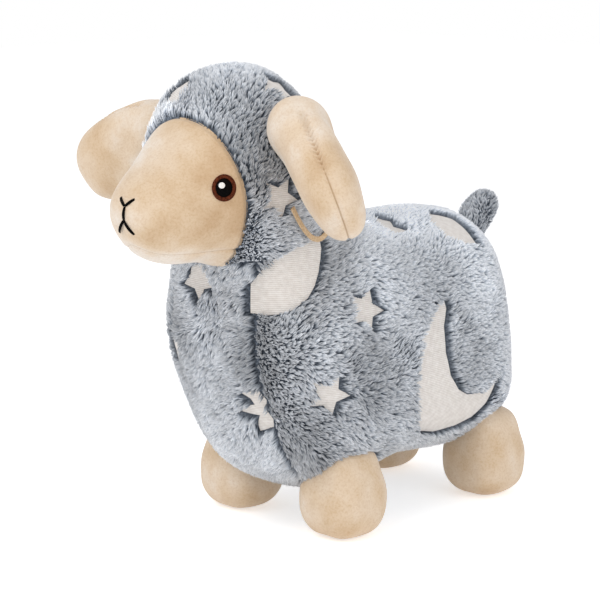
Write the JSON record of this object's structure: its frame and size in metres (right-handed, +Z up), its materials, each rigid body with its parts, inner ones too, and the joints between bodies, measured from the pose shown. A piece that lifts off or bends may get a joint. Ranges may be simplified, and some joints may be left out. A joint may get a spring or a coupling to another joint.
{
  "type": "plush sheep",
  "caption": "Stuffed plush sheep standing on short stub feet, with drooping ears, a fur hood and body patterned with stars and moons, embroidered eyes and a small upright tail.",
  "frame": {"origin": "on the ground under the middle of the whole toy", "axes": "+Z up, -Y the way the sheep faces, +X its own left side"},
  "size_m": [0.196, 0.2612, 0.2329],
  "materials": {
    "fur": "long two-tone pile with dark roots and frosted tips, cut low in star and moon patches",
    "velour": "short matt nap",
    "fibre": "loose polyester fibre filling",
    "brown_thread": "satin-stitched embroidery thread",
    "black_thread": "satin-stitched embroidery thread",
    "white_thread": "satin-stitched embroidery thread",
    "cotton_tape": "woven cotton tape"
  },
  "bodies": {
    "body": {"body_stuffing": "fibre", "chest_panel": "fur", "belly_panel": "fur", "side_panel_left": "fur", "side_panel_right": "fur", "foot_cover_front_left": "velour", "foot_stuffing_front_left": "fibre", "foot_cover_front_right": "velour", "foot_stuffing_front_right": "fibre", "foot_cover_rear_left": "velour", "foot_stuffing_rear_left": "fibre", "foot_cover_rear_right": "velour", "foot_stuffing_rear_right": "fibre"},
    "head": {"head_stuffing": "fibre", "hood_left": "fur", "hood_right": "fur", "face_panel": "velour", "chin_panel": "velour", "eye_ring_left": "brown_thread", "pupil_left": "black_thread", "eye_glint_left": "white_thread", "eye_ring_right": "brown_thread", "pupil_right": "black_thread", "eye_glint_right": "white_thread", "nose_and_mouth_stitches": "black_thread", "tape_loop": "cotton_tape"},
    "ear_left": {"ear_outer_left": "velour", "ear_inner_left": "velour", "ear_padding_left": "fibre"},
    "ear_right": {"ear_outer_right": "velour", "ear_inner_right": "velour", "ear_padding_right": "fibre"},
    "tail": {"tail_fur_left": "fur", "tail_fur_right": "fur", "tail_stuffing": "fibre"}
  },
  "joints": [
    {"name": "head_turn", "type": "hinge", "parent": "body", "child": "head", "pos_m": [0.00518, -0.04305, 0.153], "axis": [0, -0.3584, 0.9336], "range_deg": [-15, 15], "stiffness_Nm_per_rad": 0.3},
    {"name": "ear_lift_left", "type": "hinge", "parent": "head", "child": "ear_left", "pos_m": [0.05118, -0.06305, 0.207], "axis": [0, -1, 0], "range_deg": [-12, 55], "stiffness_Nm_per_rad": 0.06},
    {"name": "ear_lift_right", "type": "hinge", "parent": "head", "child": "ear_right", "pos_m": [-0.04082, -0.06305, 0.1985], "axis": [0, 1, 0], "range_deg": [-12, 55], "stiffness_Nm_per_rad": 0.06},
    {"name": "tail_wag", "type": "hinge", "parent": "body", "child": "tail", "pos_m": [0.00518, 0.11095, 0.134], "axis": [0, 0, 1], "range_deg": [-30, 30], "stiffness_Nm_per_rad": 0.003}
  ]
}
